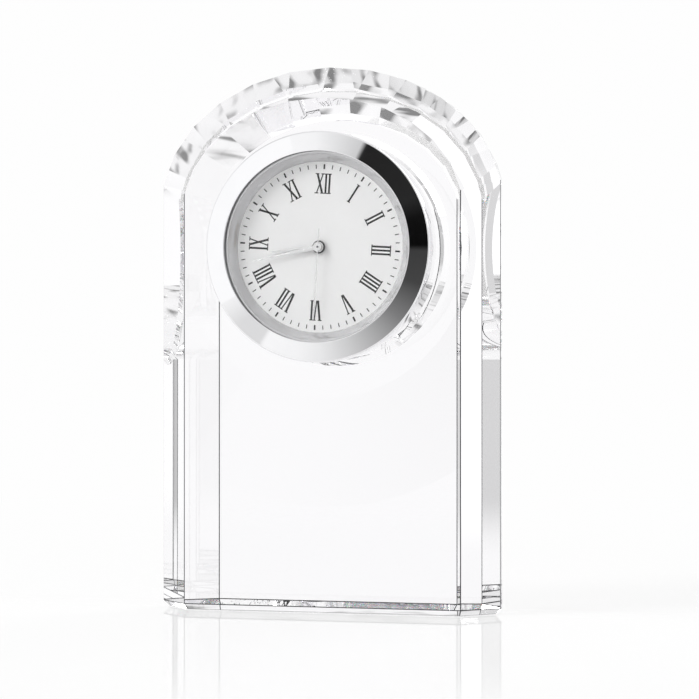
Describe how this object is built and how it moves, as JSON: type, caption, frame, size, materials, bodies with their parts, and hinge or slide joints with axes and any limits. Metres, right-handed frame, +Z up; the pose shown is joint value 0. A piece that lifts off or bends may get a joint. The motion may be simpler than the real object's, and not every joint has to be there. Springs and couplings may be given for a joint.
{
  "type": "crystal shelf clock",
  "caption": "Arch-topped cut crystal block with a faceted rim, bored for a round quartz clock insert with a polished bezel, Roman dial and hands.",
  "frame": {"origin": "middle of the flat base that the block stands on", "axes": "+Z up, -Y towards the reader in front of the dial, +X to the reader's right"},
  "size_m": [0.0778, 0.0256, 0.1208],
  "materials": {
    "crystal": "polished lead-free crystal",
    "mineral_glass": "clear flat glass",
    "bright_metal": "mirror polished",
    "dial_paint": "satin silver white",
    "hand_metal": "polished",
    "soft_seal": "soft translucent",
    "case_plastic": "moulded",
    "holder_plastic": "moulded",
    "gear_plastic": "moulded",
    "brass": "turned",
    "steel": "plain",
    "magnet": "sintered",
    "copper": "enamelled wire",
    "board": "laminate",
    "black_resin": "sealed"
  },
  "bodies": {
    "block": {"crystal_block": "crystal"},
    "insert": {"bezel": "bright_metal", "lens": "mineral_glass", "gasket": "soft_seal", "rehaut_ring": "bright_metal", "dial": "dial_paint", "case_cup": "case_plastic", "movement_holder": "holder_plastic", "main_plate": "holder_plastic", "train_bridge": "holder_plastic", "bridge_screws": "steel", "stator": "steel", "coil_core": "steel", "coil_bobbin": "black_resin", "coil_winding": "copper", "circuit_board": "board", "chip": "black_resin", "quartz_can": "steel", "cell": "steel", "positive_contact": "brass", "negative_contact": "brass"},
    "seconds": {"seconds_wheel": "brass", "second_hand": "hand_metal"},
    "centre": {"centre_wheel": "gear_plastic"},
    "third": {"third_wheel": "gear_plastic"},
    "fifth": {"fifth_wheel": "gear_plastic"},
    "rotor": {"rotor_arbor": "brass", "rotor_magnet": "magnet"},
    "minute": {"cannon_pinion": "brass", "minute_hand": "hand_metal"},
    "intermediate": {"minute_wheel": "gear_plastic"},
    "hour": {"hour_wheel": "gear_plastic", "hour_hand": "hand_metal"},
    "setting": {"set_shaft": "steel", "set_knob": "case_plastic"},
    "hatch": {"battery_hatch": "case_plastic"}
  },
  "joints": [
    {"name": "insert_pull", "type": "slide", "parent": "block", "child": "insert", "axis": [0, -1, 0], "range_m": [0, 0.016]},
    {"name": "hatch_pull", "type": "slide", "parent": "insert", "child": "hatch", "axis": [0, 1, 0], "range_m": [0, 0.009]},
    {"name": "seconds_spin", "type": "hinge", "parent": "insert", "child": "seconds", "pos_m": [0, -0.0107, 0.0805], "axis": [0, 1, 0], "continuous": true},
    {"name": "centre_spin", "type": "hinge", "parent": "insert", "child": "centre", "pos_m": [0, -0.0107, 0.0805], "axis": [0, 1, 0], "continuous": true},
    {"name": "third_spin", "type": "hinge", "parent": "insert", "child": "third", "pos_m": [-0.0051, -0.0107, 0.08389], "axis": [0, 1, 0], "continuous": true},
    {"name": "fifth_spin", "type": "hinge", "parent": "insert", "child": "fifth", "pos_m": [0.00559, -0.0107, 0.08327], "axis": [0, 1, 0], "continuous": true},
    {"name": "rotor_spin", "type": "hinge", "parent": "insert", "child": "rotor", "pos_m": [0.00917, -0.0107, 0.08546], "axis": [0, 1, 0], "continuous": true},
    {"name": "minute_spin", "type": "hinge", "parent": "insert", "child": "minute", "pos_m": [0, -0.0107, 0.0805], "axis": [0, 1, 0], "continuous": true},
    {"name": "intermediate_spin", "type": "hinge", "parent": "insert", "child": "intermediate", "pos_m": [-0.00124, -0.0107, 0.07537], "axis": [0, 1, 0], "continuous": true},
    {"name": "hour_spin", "type": "hinge", "parent": "insert", "child": "hour", "pos_m": [0, -0.0107, 0.0805], "axis": [0, 1, 0], "continuous": true},
    {"name": "setting_spin", "type": "hinge", "parent": "insert", "child": "setting", "pos_m": [-0.00157, -0.0107, 0.0701], "axis": [0, 1, 0], "continuous": true}
  ],
  "couplings": [
    {"joint": "third_spin", "follows": "seconds_spin", "ratio": -0.13333},
    {"joint": "centre_spin", "follows": "seconds_spin", "ratio": 0.016667},
    {"joint": "fifth_spin", "follows": "seconds_spin", "ratio": -5},
    {"joint": "rotor_spin", "follows": "seconds_spin", "ratio": 30},
    {"joint": "intermediate_spin", "follows": "minute_spin", "ratio": -0.33333},
    {"joint": "hour_spin", "follows": "minute_spin", "ratio": 0.083333},
    {"joint": "setting_spin", "follows": "minute_spin", "ratio": 1}
  ]
}
